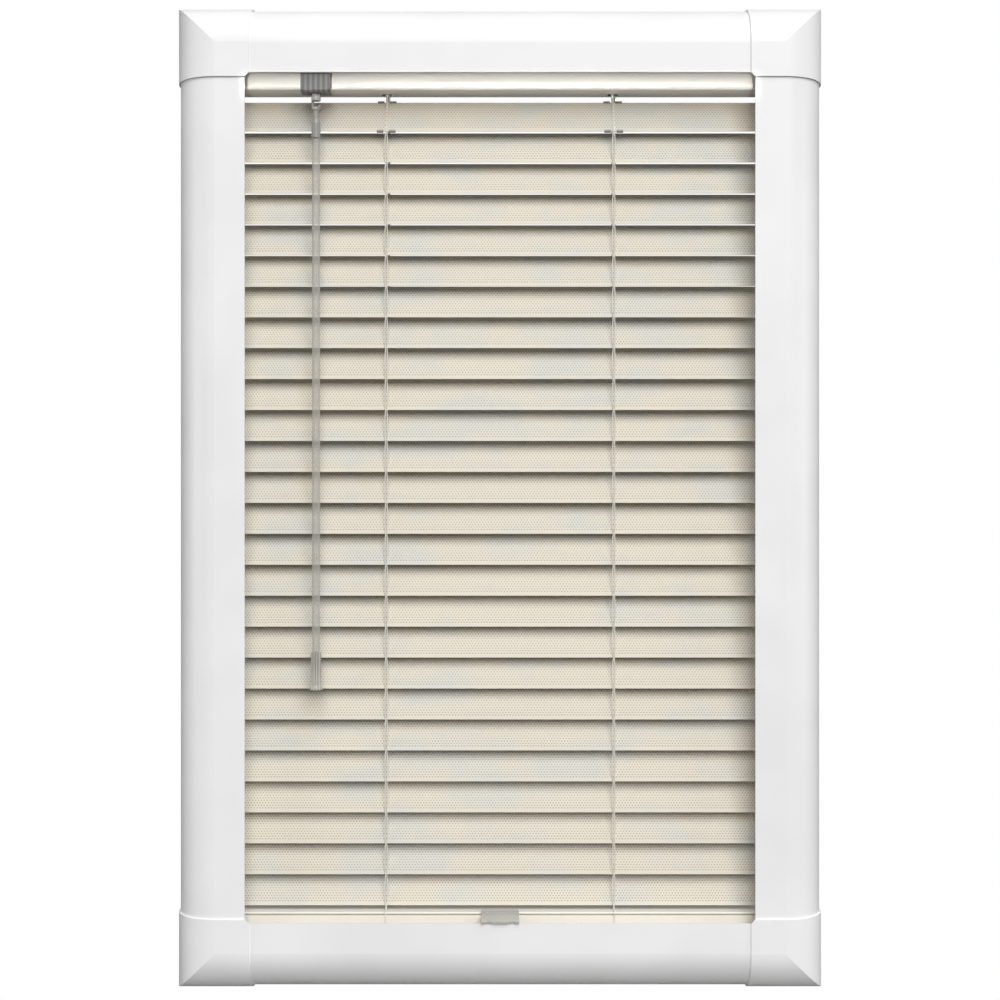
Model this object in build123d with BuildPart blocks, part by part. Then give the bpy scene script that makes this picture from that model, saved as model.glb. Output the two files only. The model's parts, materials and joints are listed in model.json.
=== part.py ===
"""Framed venetian blind: clip-in frame, headrail with worm tilter, wand, ladders, slats and bottom rail.

Millimetres. +X to the right, +Y towards the window, +Z up. The origin is on the window-side face of the
frame, at the middle of the bottom bar.
"""

import math
import os

from build123d import *

# Frame: four bars of one extruded section with a cover on each corner
FRAME_W = 445.2
FRAME_H = 677.6
FACE = 48.4
CHAMBER = 33.0
DEPTH = 42.0
ROLL = 28.0
WALL = 1.6
CLIP_SLOT = 6.0
CLIP_SLOT_AT = 24.0
COVER_SKIN = 1.3
COVER_REACH = 3.0
COVER_CHAMFER = 2.6

# Slats and their ladders
SLAT_COUNT = 26
SLAT_PITCH = 21.5
SLAT_WIDTH = 25.0
SLAT_CROWN = 1.5
SLAT_SKIN = 0.25
SLAT_HALF = 187.0
SLAT_CORNER = 1.8
SLAT_TILT = 450.0 / 7.0
BLIND_Y = -16.0
FIRST_SLAT_DROP = 16.4
LADDER_X = 79.0
STRING_R = 0.5
STRING_GAP = 0.3
RUNG_R = 0.25
RUNG_SHORT = 1.0
CORD_SIDES = 8
LIFT_CORD_X = 1.5
FIRST_RISING_SLAT = 19

# Headrail and the shaft inside it
HEADRAIL_DROP = 8.1
HEADRAIL_D = 25.0
HEADRAIL_H = 22.4
HEADRAIL_HALF = 187.5
HEADRAIL_CORNER = 2.4
HEADRAIL_SKIN = 0.9
HEADRAIL_RETURN = 3.4
SHAFT_Y = -20.9
SHAFT_UP = 11.7
SHAFT_R = 2.7
RUNNING_GAP = 0.05

# Worm tilter and wand
GEAR_TEETH = 14
MODULE = 1.25
WORM_R = 4.0
WAND_X = -126.4
HOUSING_HALF = 10.0
HOUSING_FRONT = -39.6
HOUSING_DROP = 4.5
WAND_R = 2.7
WAND_TOP_DROP = 22.0
WAND_LENGTH = 374.0
ROD_SEAT = 4.0
ROD_PLAY = 0.02
HANDLE_LENGTH = 26.0
HANDLE_R = 3.6
HOOK_DROP = 15.5
HOOK_WIRE_R = 0.9

# Bottom rail and its pull tab
RAIL_DROP = 14.5
RAIL_H = 9.0
RAIL_D = 25.0
RAIL_HALF = 187.0
RAIL_SKIN = 1.2
TAB_W = 26.0

# Places worked out from the driving dimensions
SIDE = DEPTH - ROLL
ORIGIN_UP = CHAMBER / 2
BOTTOM_Z = -ORIGIN_UP
TOP_Z = FRAME_H - ORIGIN_UP
MID_Z = (TOP_Z + BOTTOM_Z) / 2
LIP_TOP_Z = TOP_Z - FACE
HEADRAIL_Z = LIP_TOP_Z - HEADRAIL_DROP
HEADRAIL_TOP_Z = HEADRAIL_Z + HEADRAIL_H
HEADRAIL_FRONT = BLIND_Y - HEADRAIL_D / 2
FIRST_SLAT_Z = HEADRAIL_Z - FIRST_SLAT_DROP
LAST_SLAT_Z = FIRST_SLAT_Z - (SLAT_COUNT - 1) * SLAT_PITCH
SHAFT_Z = HEADRAIL_Z + SHAFT_UP
GEAR_R = GEAR_TEETH * MODULE / 2
WAND_Y = SHAFT_Y - GEAR_R - WORM_R
HOUSING_Z = HEADRAIL_Z - HOUSING_DROP
HOOK_Z = HEADRAIL_Z - HOOK_DROP
RAIL_TOP_Z = LAST_SLAT_Z - RAIL_DROP
EDGE_Y = SLAT_WIDTH / 2 * math.cos(math.radians(SLAT_TILT))
EDGE_Z = SLAT_WIDTH / 2 * math.sin(math.radians(SLAT_TILT))
STRING_OFF = EDGE_Y + SLAT_SKIN / 2 + STRING_GAP + STRING_R
FRONT_STRING_Y = BLIND_Y - STRING_OFF
BACK_STRING_Y = BLIND_Y + STRING_OFF

os.makedirs("parts", exist_ok=True)


def keep(name, piece):
    """Label a finished piece and write it under its node's name."""
    piece.label = name
    export_step(piece, f"parts/{name}.step")


def slat_z(number):
    """Height of the turning axis of a slat, counted from 1 at the top."""
    return FIRST_SLAT_Z - (number - 1) * SLAT_PITCH


def bar_outline(grow, inner_edge):
    """Outline of a frame bar: u from the outer edge, v from the window, grown outwards by a skin."""
    with BuildSketch() as outline:
        with BuildLine():
            Line((-grow, 0), (-grow, SIDE))
            CenterArc((ROLL, SIDE), ROLL + grow, start_angle=90, arc_size=90)
            Line((ROLL, DEPTH + grow), (inner_edge, DEPTH + grow))
            Line((inner_edge, DEPTH + grow), (inner_edge, 0))
            Line((inner_edge, 0), (-grow, 0))
        make_face()
    return outline.sketch


def bar_section():
    """Section of a frame bar: a hollow chamber with a rolled face, and a lip over the slat ends."""
    with BuildSketch() as section:
        add(bar_outline(0, FACE))
        with Locations(((CHAMBER + FACE) / 2, (DEPTH - WALL) / 2)):
            Rectangle(FACE - CHAMBER, DEPTH - WALL, mode=Mode.SUBTRACT)
        with BuildLine():
            Line((WALL, WALL), (WALL, SIDE))
            CenterArc((ROLL, SIDE), ROLL - WALL, start_angle=90, arc_size=90)
            Line((ROLL, DEPTH - WALL), (CHAMBER - WALL, DEPTH - WALL))
            Line((CHAMBER - WALL, DEPTH - WALL), (CHAMBER - WALL, WALL))
            Line((CHAMBER - WALL, WALL), (WALL, WALL))
        make_face(mode=Mode.SUBTRACT)
        with Locations((CLIP_SLOT_AT, 0)):
            Rectangle(CLIP_SLOT, 2 * WALL, mode=Mode.SUBTRACT)
    return section.sketch


# Frame bars, cut to a mitre at each end
bar = bar_section()
bottom_plane = Plane((-FRAME_W / 2, 0, BOTTOM_Z), x_dir=(0, 0, 1), z_dir=(1, 0, 0))
left_plane = Plane((-FRAME_W / 2, 0, TOP_Z), x_dir=(1, 0, 0), z_dir=(0, 0, -1))
mid_plane = Plane.XY.offset(MID_Z)

with BuildPart() as bottom_bar:
    with BuildSketch(bottom_plane):
        add(bar)
    extrude(amount=FRAME_W)
    split(bisect_by=Plane((-FRAME_W / 2, 0, BOTTOM_Z), z_dir=(1, 0, -1)), keep=Keep.TOP)
    split(bisect_by=Plane((FRAME_W / 2, 0, BOTTOM_Z), z_dir=(-1, 0, -1)), keep=Keep.TOP)

with BuildPart() as frame_rails:
    add(bottom_bar.part)
    mirror(about=mid_plane)
keep("frame_rails", frame_rails.part)

with BuildPart() as left_bar:
    with BuildSketch(left_plane):
        add(bar)
    extrude(amount=FRAME_H)
    split(bisect_by=Plane((-FRAME_W / 2, 0, BOTTOM_Z), z_dir=(-1, 0, 1)), keep=Keep.TOP)
    split(bisect_by=Plane((-FRAME_W / 2, 0, TOP_Z), z_dir=(-1, 0, -1)), keep=Keep.TOP)

with BuildPart() as frame_stiles:
    add(left_bar.part)
    mirror(about=Plane.YZ)
keep("frame_stiles", frame_stiles.part)


# Corner covers: a moulded cap over each mitre, with a chamfered inner corner
def corner_block(grow, reach, start):
    """Solid corner bounded by the bar's outline along both directions."""
    with BuildPart() as block:
        with BuildSketch(Plane((-FRAME_W / 2 - start, 0, BOTTOM_Z), x_dir=(0, 0, 1), z_dir=(1, 0, 0))):
            add(bar_outline(grow, reach))
        extrude(amount=start + reach)
        with BuildSketch(Plane((-FRAME_W / 2, 0, BOTTOM_Z + reach), x_dir=(1, 0, 0), z_dir=(0, 0, -1))):
            add(bar_outline(grow, reach))
        extrude(amount=start + reach, mode=Mode.INTERSECT)
    return block.part


with BuildPart() as corner_cover:
    add(corner_block(COVER_SKIN, FACE + COVER_REACH, COVER_SKIN))
    add(corner_block(0, FACE + 2 * COVER_REACH, 0), mode=Mode.SUBTRACT)
    inner_corner = corner_cover.edges().filter_by(Axis.Y).sort_by(
        lambda edge: edge.center().X + edge.center().Z
    )[-1]
    chamfer(inner_corner, COVER_CHAMFER)

with BuildPart() as corner_covers:
    add(corner_cover.part)
    mirror(about=Plane.YZ)
    mirror(about=mid_plane)
keep("corner_covers", corner_covers.part)

# Window clips: a head behind the slot of each upright bar and a thin tongue for the glazing gasket
CLIP_W = 20.0
CLIP_TONGUE = 12.0
CLIP_SKIN = 1.2
CLIP_HEAD = 10.0
CLIP_X = -FRAME_W / 2 + CLIP_SLOT_AT
CLIP_SPREAD = 400.0
with BuildPart() as window_clips:
    with BuildSketch(Plane((0, 0, MID_Z - CLIP_W / 2))):
        with Locations((CLIP_X, -WALL - CLIP_SKIN / 2), (-CLIP_X, -WALL - CLIP_SKIN / 2)):
            Rectangle(CLIP_HEAD, CLIP_SKIN)
        with Locations((CLIP_X, CLIP_TONGUE / 2 - WALL / 2), (-CLIP_X, CLIP_TONGUE / 2 - WALL / 2)):
            Rectangle(CLIP_SKIN, CLIP_TONGUE + WALL)
    extrude(amount=CLIP_W)
with BuildPart() as window_clip_set:
    with Locations((0, 0, CLIP_SPREAD / 2), (0, 0, -CLIP_SPREAD / 2)):
        add(window_clips.part)
keep("window_clips", window_clip_set.part)

# Headrail: a rolled channel with turned-in top edges, pierced for the tilter and the ladders
LADDER_HOLE = 7.0
LADDER_HOLE_D = 6.2
LADDER_HOLE_Y = -10.7
TILTER_CUT_D = 3.0
TILTER_CUT_SILL = 1.0
TILTER_CUT_HEAD = 3.0
TILTER_CUT_PLAY = 0.3
TILTER_CUT_Z = HEADRAIL_Z + (HEADRAIL_H + TILTER_CUT_SILL - TILTER_CUT_HEAD) / 2
with BuildPart() as headrail:
    with BuildSketch(Plane.YZ.offset(-HEADRAIL_HALF)):
        with Locations((BLIND_Y, HEADRAIL_Z + HEADRAIL_H / 2)):
            RectangleRounded(HEADRAIL_D, HEADRAIL_H, HEADRAIL_CORNER)
            RectangleRounded(
                HEADRAIL_D - 2 * HEADRAIL_SKIN,
                HEADRAIL_H - 2 * HEADRAIL_SKIN,
                HEADRAIL_CORNER - HEADRAIL_SKIN,
                mode=Mode.SUBTRACT,
            )
        with Locations((BLIND_Y, HEADRAIL_TOP_Z)):
            Rectangle(HEADRAIL_D - 2 * HEADRAIL_RETURN, 3 * HEADRAIL_SKIN, mode=Mode.SUBTRACT)
    extrude(amount=2 * HEADRAIL_HALF)
    with Locations((WAND_X, HEADRAIL_FRONT, TILTER_CUT_Z)):
        Box(
            2 * (HOUSING_HALF + TILTER_CUT_PLAY),
            TILTER_CUT_D,
            HEADRAIL_H - TILTER_CUT_SILL - TILTER_CUT_HEAD,
            mode=Mode.SUBTRACT,
        )
    with Locations((-LADDER_X, LADDER_HOLE_Y, HEADRAIL_Z), (LADDER_X, LADDER_HOLE_Y, HEADRAIL_Z)):
        Box(LADDER_HOLE, LADDER_HOLE_D, 3 * HEADRAIL_SKIN, mode=Mode.SUBTRACT)
keep("headrail", headrail.part)

END_CAP_SKIN = 1.2
END_PLUG_INSET = 2.5
END_PLUG_WALL = 1.5
END_PLUG_DROP = 1.0
END_PLUG_REACH = 6.0
END_PLUG_D = HEADRAIL_D - 2 * END_PLUG_INSET
END_PLUG_H = HEADRAIL_H - 2 * END_PLUG_INSET
with BuildPart() as headrail_end_caps:
    with BuildSketch(Plane.YZ.offset(HEADRAIL_HALF)):
        with Locations((BLIND_Y, HEADRAIL_Z + HEADRAIL_H / 2)):
            RectangleRounded(HEADRAIL_D, HEADRAIL_H, HEADRAIL_CORNER)
    extrude(amount=END_CAP_SKIN)
    with BuildSketch(Plane.YZ.offset(HEADRAIL_HALF)):
        with Locations((BLIND_Y, HEADRAIL_Z + HEADRAIL_H / 2 - END_PLUG_DROP)):
            Rectangle(END_PLUG_D, END_PLUG_H)
            Rectangle(END_PLUG_D - 2 * END_PLUG_WALL, END_PLUG_H - 2 * END_PLUG_WALL, mode=Mode.SUBTRACT)
    extrude(amount=-END_PLUG_REACH)
    mirror(about=Plane.YZ)
keep("headrail_end_caps", headrail_end_caps.part)

# Hangers: spring clips between the top bar and the turned-in edges of the headrail
HANGER_X = 150.0
HANGER_W = 16.0
HANGER_TOP_Z = TOP_Z - CHAMBER
HANGER_PLAY = 0.1
HANGER_LEG = 1.2
HANGER_BARB = 1.3
HANGER_GRIP = 1.05
HANGER_REACH = 3.1
LEG_OUT = HEADRAIL_D / 2 - HEADRAIL_RETURN - HANGER_PLAY
hanger_plane = Plane((HANGER_X - HANGER_W / 2, BLIND_Y, HEADRAIL_TOP_Z), x_dir=(0, 1, 0), z_dir=(1, 0, 0))
with BuildPart() as headrail_hangers:
    with BuildSketch(hanger_plane):
        with BuildLine():
            Polyline(
                (0, 0),
                (LEG_OUT - HANGER_LEG, 0),
                (LEG_OUT - HANGER_LEG, -HANGER_REACH),
                (LEG_OUT, -HANGER_REACH),
                (LEG_OUT + HANGER_BARB, -HANGER_GRIP),
                (LEG_OUT, -HANGER_GRIP),
                (LEG_OUT, 0),
                (HEADRAIL_D / 2, 0),
                (HEADRAIL_D / 2, HANGER_TOP_Z - HEADRAIL_TOP_Z),
                (0, HANGER_TOP_Z - HEADRAIL_TOP_Z),
                close=True,
            )
        make_face()
        mirror(about=Plane.YZ)
    extrude(amount=HANGER_W)
    mirror(about=Plane.YZ)
keep("headrail_hangers", headrail_hangers.part)

# Ladder cradles: a base over the hole in the headrail, and two cheeks that a drum snaps into
CRADLE_W = 20.0
CRADLE_BASE = 1.4
CRADLE_INSET = 2.1
CRADLE_HOLE_D = 9.3
CRADLE_HOLE_Y = -11.95
CHEEK = 1.5
CHEEK_AT = 8.5
CRADLE_FLOOR_Z = HEADRAIL_Z + HEADRAIL_SKIN
JOURNAL_R = 3.5
CHEEK_WALL = 1.5
CHEEK_RISE = 1.5
DRUM_R = 4.8
DRUM_FLANGE_R = 6.3
with BuildPart() as ladder_cradle:
    with Locations((LADDER_X, BLIND_Y, CRADLE_FLOOR_Z + CRADLE_BASE / 2)):
        Box(CRADLE_W, HEADRAIL_D - 2 * (HEADRAIL_SKIN + CRADLE_INSET), CRADLE_BASE)
    with Locations((LADDER_X, CRADLE_HOLE_Y, CRADLE_FLOOR_Z)):
        Box(LADDER_HOLE, CRADLE_HOLE_D, 3 * CRADLE_BASE, mode=Mode.SUBTRACT)
    for side in (-1, 1):
        with BuildSketch(Plane.YZ.offset(LADDER_X + side * CHEEK_AT - CHEEK / 2)):
            with Locations((SHAFT_Y, (CRADLE_FLOOR_Z + SHAFT_Z + CHEEK_RISE) / 2)):
                Rectangle(2 * (JOURNAL_R + CHEEK_WALL), SHAFT_Z + CHEEK_RISE - CRADLE_FLOOR_Z)
            with Locations((SHAFT_Y, SHAFT_Z)):
                Circle(JOURNAL_R + RUNNING_GAP, mode=Mode.SUBTRACT)
        extrude(amount=CHEEK)
with BuildPart() as ladder_cradles:
    add(ladder_cradle.part)
    mirror(about=Plane.YZ)
keep("ladder_cradles", ladder_cradles.part)

# Spring lift unit behind the shaft: it takes up the lift cords and balances the bottom rail
UNIT_HALF = 36.0
UNIT_D = 9.4
UNIT_H = 19.0
UNIT_Y = -10.8
with BuildPart() as lift_spring_unit:
    with BuildSketch(Plane.XZ.offset(-UNIT_Y - UNIT_D / 2)):
        with Locations((0, CRADLE_FLOOR_Z + UNIT_H / 2)):
            SlotOverall(2 * UNIT_HALF, UNIT_H)
    extrude(amount=UNIT_D)
keep("lift_spring_unit", lift_spring_unit.part)

# Tilt shaft: a hexagonal bar through the tilter and both drums
SHAFT_OVER = 4.0
SHAFT_LEFT = WAND_X - HOUSING_HALF - SHAFT_OVER / 2
SHAFT_RIGHT = LADDER_X + CHEEK_AT + CHEEK + SHAFT_OVER
with BuildPart() as tilt_rod:
    with BuildSketch(Plane.YZ.offset(SHAFT_LEFT)):
        with Locations((SHAFT_Y, SHAFT_Z)):
            RegularPolygon(SHAFT_R, 6)
    extrude(amount=SHAFT_RIGHT - SHAFT_LEFT)
keep("tilt_rod", tilt_rod.part)

# Ladder drums: flanged reels on the shaft that the ladder strings hang from
DRUM_HALF = 6.0
FLANGE = 1.2
JOURNAL_HALF = CHEEK_AT + CHEEK
with BuildPart() as ladder_drum:
    with BuildSketch(Plane.YZ.offset(LADDER_X - JOURNAL_HALF)):
        with Locations((SHAFT_Y, SHAFT_Z)):
            Circle(JOURNAL_R)
    extrude(amount=2 * JOURNAL_HALF)
    with BuildSketch(Plane.YZ.offset(LADDER_X - DRUM_HALF)):
        with Locations((SHAFT_Y, SHAFT_Z)):
            Circle(DRUM_R)
    extrude(amount=2 * DRUM_HALF)
    for start in (LADDER_X - DRUM_HALF - FLANGE, LADDER_X + DRUM_HALF):
        with BuildSketch(Plane.YZ.offset(start)):
            with Locations((SHAFT_Y, SHAFT_Z)):
                Circle(DRUM_FLANGE_R)
        extrude(amount=FLANGE)
    with BuildSketch(Plane.YZ.offset(LADDER_X - JOURNAL_HALF)):
        with Locations((SHAFT_Y, SHAFT_Z)):
            RegularPolygon(SHAFT_R + RUNNING_GAP, 6)
    extrude(amount=2 * JOURNAL_HALF, mode=Mode.SUBTRACT)
with BuildPart() as ladder_drums:
    add(ladder_drum.part)
    mirror(about=Plane.YZ)
keep("ladder_drums", ladder_drums.part)

# Worm wheel on the shaft
GEAR_TIP_R = 9.7
GEAR_ROOT_R = 7.45
GEAR_W = 5.0
GEAR_HUB_R = 4.6
GEAR_HUB_W = 14.0
TOOTH_ROOT = 2.0
TOOTH_TIP = 0.8
TOOTH_SINK = 0.5
with BuildPart() as tilt_gear:
    with BuildSketch(Plane.YZ.offset(WAND_X - GEAR_W / 2)):
        with Locations((SHAFT_Y, SHAFT_Z)):
            Circle(GEAR_ROOT_R)
            with PolarLocations(0, GEAR_TEETH, start_angle=180 / GEAR_TEETH):
                Polygon(
                    (GEAR_ROOT_R - TOOTH_SINK, -TOOTH_ROOT / 2),
                    (GEAR_TIP_R, -TOOTH_TIP / 2),
                    (GEAR_TIP_R, TOOTH_TIP / 2),
                    (GEAR_ROOT_R - TOOTH_SINK, TOOTH_ROOT / 2),
                    align=None,
                )
    extrude(amount=GEAR_W)
    with BuildSketch(Plane.YZ.offset(WAND_X - GEAR_HUB_W / 2)):
        with Locations((SHAFT_Y, SHAFT_Z)):
            Circle(GEAR_HUB_R)
    extrude(amount=GEAR_HUB_W)
    with BuildSketch(Plane.YZ.offset(WAND_X - GEAR_HUB_W / 2)):
        with Locations((SHAFT_Y, SHAFT_Z)):
            RegularPolygon(SHAFT_R + RUNNING_GAP, 6)
    extrude(amount=GEAR_HUB_W, mode=Mode.SUBTRACT)
keep("tilt_gear", tilt_gear.part)

# Tilter worm: a one-start worm, its stem through the housing's floor, and a hook for the wand
WORM_PITCH = math.pi * MODULE
WORM_TURNS = 2
WORM_BELOW_TURNS = 1.25
WORM_TIP_R = 4.9
WORM_CORE_R = 2.7
WORM_ROOT = 1.8
WORM_CREST = 0.8
THREAD_SINK = 0.3
WORM_START_Z = SHAFT_Z - WORM_BELOW_TURNS * WORM_PITCH
WORM_BASE_Z = SHAFT_Z - 7.5
WORM_TOP_Z = SHAFT_Z + 8.2
STEM_R = 2.5
STEM_BELL_R = 3.2
STEM_BELL_DROP = 2.2
STEM_END_Z = HOUSING_Z - 5.0
HOOK_HALF = 2.2
HOOK_TIP = 3.2
HOOK_BEVEL = 0.9
HOOK_SINK = 0.2
HOOK_START = (WAND_X - HOOK_HALF, WAND_Y, STEM_END_Z + HOOK_SINK)
with BuildPart() as tilter_worm:
    with BuildLine() as thread_line:
        Helix(WORM_PITCH, WORM_TURNS * WORM_PITCH, WORM_R, center=(WAND_X, WAND_Y, WORM_START_Z))
    with BuildSketch(Plane(thread_line.line @ 0, x_dir=(1, 0, 0), z_dir=thread_line.line % 0)):
        Polygon(
            (WORM_CORE_R - WORM_R - THREAD_SINK, -WORM_ROOT / 2),
            (WORM_TIP_R - WORM_R, -WORM_CREST / 2),
            (WORM_TIP_R - WORM_R, WORM_CREST / 2),
            (WORM_CORE_R - WORM_R - THREAD_SINK, WORM_ROOT / 2),
            align=None,
        )
    sweep(path=thread_line.line, is_frenet=True)
    with BuildSketch(Plane.XZ.offset(-WAND_Y)):
        with BuildLine():
            Polyline(
                (WAND_X, WORM_TOP_Z),
                (WAND_X + WORM_CORE_R, WORM_TOP_Z),
                (WAND_X + WORM_CORE_R, WORM_BASE_Z),
                (WAND_X + STEM_R, WORM_BASE_Z),
                (WAND_X + STEM_R, HOUSING_Z),
                (WAND_X + STEM_BELL_R, HOUSING_Z - STEM_BELL_DROP),
                (WAND_X + STEM_BELL_R, STEM_END_Z),
                (WAND_X, STEM_END_Z),
                close=True,
            )
        make_face()
    revolve(axis=Axis((WAND_X, WAND_Y, 0), (0, 0, 1)))
    with BuildLine() as hook_line:
        Polyline(
            HOOK_START,
            (WAND_X - HOOK_HALF, WAND_Y, HOOK_Z + HOOK_BEVEL),
            (WAND_X - HOOK_HALF + HOOK_BEVEL, WAND_Y, HOOK_Z),
            (WAND_X + HOOK_HALF - HOOK_BEVEL, WAND_Y, HOOK_Z),
            (WAND_X + HOOK_HALF, WAND_Y, HOOK_Z + HOOK_BEVEL),
            (WAND_X + HOOK_HALF, WAND_Y, HOOK_Z + HOOK_TIP),
        )
    with BuildSketch(Plane(HOOK_START, z_dir=(0, 0, -1))):
        RegularPolygon(HOOK_WIRE_R, CORD_SIDES)
    sweep(path=hook_line.line, transition=Transition.RIGHT)
keep("tilter_worm", tilter_worm.part)

# Tilter housing: a ribbed clear hood through the front of the headrail, round the worm and its wheel
HOUSING_TOP_Z = HEADRAIL_TOP_Z - TILTER_CUT_HEAD - 0.4
HOUSING_BACK = -11.0
HOOD_CHAMFER = 1.2
HOOD_RIBS = 6
HOOD_RIB_W = 1.2
HOOD_RIB_OUT = 0.4
HOOD_STEP = 2.6
HOOD_PLAY = 0.1
WORM_ROOM = 0.4
WORM_END_ROOM = 0.3
GEAR_ROOM = 0.5
GEAR_SIDE_ROOM = 0.6
with BuildPart() as tilter_housing:
    with BuildSketch(Plane.YZ.offset(WAND_X - HOUSING_HALF)):
        with BuildLine():
            Polyline(
                (HOUSING_FRONT, HOUSING_Z + HOOD_CHAMFER),
                (HOUSING_FRONT, HOUSING_TOP_Z),
                (HOUSING_BACK, HOUSING_TOP_Z),
                (HOUSING_BACK, CRADLE_FLOOR_Z),
                (HEADRAIL_FRONT + HOOD_STEP, CRADLE_FLOOR_Z),
                (HEADRAIL_FRONT + HOOD_STEP, HEADRAIL_Z + HOOD_STEP),
                (HEADRAIL_FRONT - HOOD_PLAY, HEADRAIL_Z + HOOD_STEP),
                (HEADRAIL_FRONT - HOOD_PLAY, HOUSING_Z),
                (HOUSING_FRONT + HOOD_CHAMFER, HOUSING_Z),
                close=True,
            )
        make_face()
    extrude(amount=2 * HOUSING_HALF)
    with BuildSketch(Plane.XY.offset(HOUSING_Z + HOOD_CHAMFER)):
        with Locations((WAND_X, HOUSING_FRONT)):
            with GridLocations(2 * (HOUSING_HALF - HOOD_RIB_W) / (HOOD_RIBS - 1), 0, HOOD_RIBS, 1):
                Rectangle(HOOD_RIB_W, 2 * HOOD_RIB_OUT)
    extrude(amount=HOUSING_TOP_Z - HOUSING_Z - HOOD_CHAMFER)
    with BuildSketch(Plane.XY.offset(WORM_BASE_Z - WORM_END_ROOM)):
        with Locations((WAND_X, WAND_Y)):
            Circle(WORM_TIP_R + WORM_ROOM)
    extrude(amount=WORM_TOP_Z - WORM_BASE_Z + 2 * WORM_END_ROOM, mode=Mode.SUBTRACT)
    with BuildSketch(Plane.XY.offset(HOUSING_Z)):
        with Locations((WAND_X, WAND_Y)):
            Circle(STEM_R + RUNNING_GAP)
    extrude(amount=WORM_BASE_Z - HOUSING_Z, mode=Mode.SUBTRACT)
    with BuildSketch(Plane.YZ.offset(WAND_X - GEAR_W / 2 - GEAR_SIDE_ROOM)):
        with Locations((SHAFT_Y, SHAFT_Z)):
            Circle(GEAR_TIP_R + GEAR_ROOM)
    extrude(amount=GEAR_W + 2 * GEAR_SIDE_ROOM, mode=Mode.SUBTRACT)
    with BuildSketch(Plane.YZ.offset(WAND_X - HOUSING_HALF)):
        with Locations((SHAFT_Y, SHAFT_Z)):
            Circle(GEAR_HUB_R + RUNNING_GAP)
    extrude(amount=2 * HOUSING_HALF, mode=Mode.SUBTRACT)
keep("tilter_housing", tilter_housing.part)

# Wand: an eye that hangs on the hook, a clear hexagonal rod and a flared grip
EYE_R = 2.3
EYE_W = 2.4
WAND_TOP_Z = HEADRAIL_Z - WAND_TOP_DROP
SLEEVE_LENGTH = 13.0
SLEEVE_R = 3.05
SLEEVE_NECK_R = 2.0
SLEEVE_FLARE = 3.0
EYE_SHANK = 4.0
with BuildPart() as wand_eye:
    with BuildSketch(Plane.YZ.offset(WAND_X - EYE_W / 2)):
        with Locations((WAND_Y, HOOK_Z)):
            Circle(EYE_R)
        with Locations((WAND_Y, (HOOK_Z + WAND_TOP_Z) / 2)):
            Rectangle(EYE_SHANK, HOOK_Z - WAND_TOP_Z)
    extrude(amount=EYE_W)
    with BuildSketch(Plane.XZ.offset(-WAND_Y)):
        with BuildLine():
            Polyline(
                (WAND_X, WAND_TOP_Z),
                (WAND_X + SLEEVE_NECK_R, WAND_TOP_Z),
                (WAND_X + SLEEVE_R, WAND_TOP_Z - SLEEVE_FLARE),
                (WAND_X + SLEEVE_R, WAND_TOP_Z - SLEEVE_LENGTH),
                (WAND_X, WAND_TOP_Z - SLEEVE_LENGTH),
                close=True,
            )
        make_face()
    revolve(axis=Axis((WAND_X, WAND_Y, 0), (0, 0, 1)))
    with BuildSketch(Plane.YZ.offset(WAND_X - EYE_W)):
        with Locations((WAND_Y, HOOK_Z)):
            Circle(HOOK_WIRE_R + 2 * RUNNING_GAP)
    extrude(amount=2 * EYE_W, mode=Mode.SUBTRACT)
    with BuildSketch(Plane.XY.offset(WAND_TOP_Z - SLEEVE_LENGTH)):
        with Locations((WAND_X, WAND_Y)):
            RegularPolygon(WAND_R + ROD_PLAY, 6)
    extrude(amount=SLEEVE_LENGTH - ROD_SEAT, mode=Mode.SUBTRACT)
keep("wand_eye", wand_eye.part)

WAND_ROD_TOP_Z = WAND_TOP_Z - ROD_SEAT
WAND_END_Z = WAND_ROD_TOP_Z - WAND_LENGTH
with BuildPart() as wand_rod:
    with BuildSketch(Plane.XY.offset(WAND_ROD_TOP_Z)):
        with Locations((WAND_X, WAND_Y)):
            RegularPolygon(WAND_R, 6)
    extrude(amount=-WAND_LENGTH)
keep("wand_rod", wand_rod.part)

GRIP_SEAT = 12.0
GRIP_TOP_Z = WAND_END_Z + GRIP_SEAT
GRIP_END_Z = GRIP_TOP_Z - HANDLE_LENGTH
GRIP_LIP_R = 4.4
GRIP_LIP = 1.2
GRIP_FLARE = 3.5
with BuildPart() as wand_handle:
    with BuildSketch(Plane.XZ.offset(-WAND_Y)):
        with BuildLine():
            Polyline(
                (WAND_X, GRIP_TOP_Z),
                (WAND_X + HANDLE_R, GRIP_TOP_Z),
                (WAND_X + HANDLE_R, GRIP_END_Z + GRIP_FLARE),
                (WAND_X + GRIP_LIP_R, GRIP_END_Z + GRIP_LIP),
                (WAND_X + GRIP_LIP_R, GRIP_END_Z),
                (WAND_X, GRIP_END_Z),
                close=True,
            )
        make_face()
    revolve(axis=Axis((WAND_X, WAND_Y, 0), (0, 0, 1)))
    with BuildSketch(Plane.XY.offset(GRIP_TOP_Z)):
        with Locations((WAND_X, WAND_Y)):
            RegularPolygon(WAND_R + ROD_PLAY, 6)
    extrude(amount=-GRIP_SEAT, mode=Mode.SUBTRACT)
keep("wand_handle", wand_handle.part)


# Slats: crowned strips with clipped corners, tilted front edge down
def slat_plane(number, x):
    """Plane across a slat: x along its width from front to back, y towards its crown."""
    tilt = math.radians(SLAT_TILT)
    return Plane(
        (x, BLIND_Y, slat_z(number)), x_dir=(0, math.cos(tilt), math.sin(tilt)), z_dir=(1, 0, 0)
    )


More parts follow.
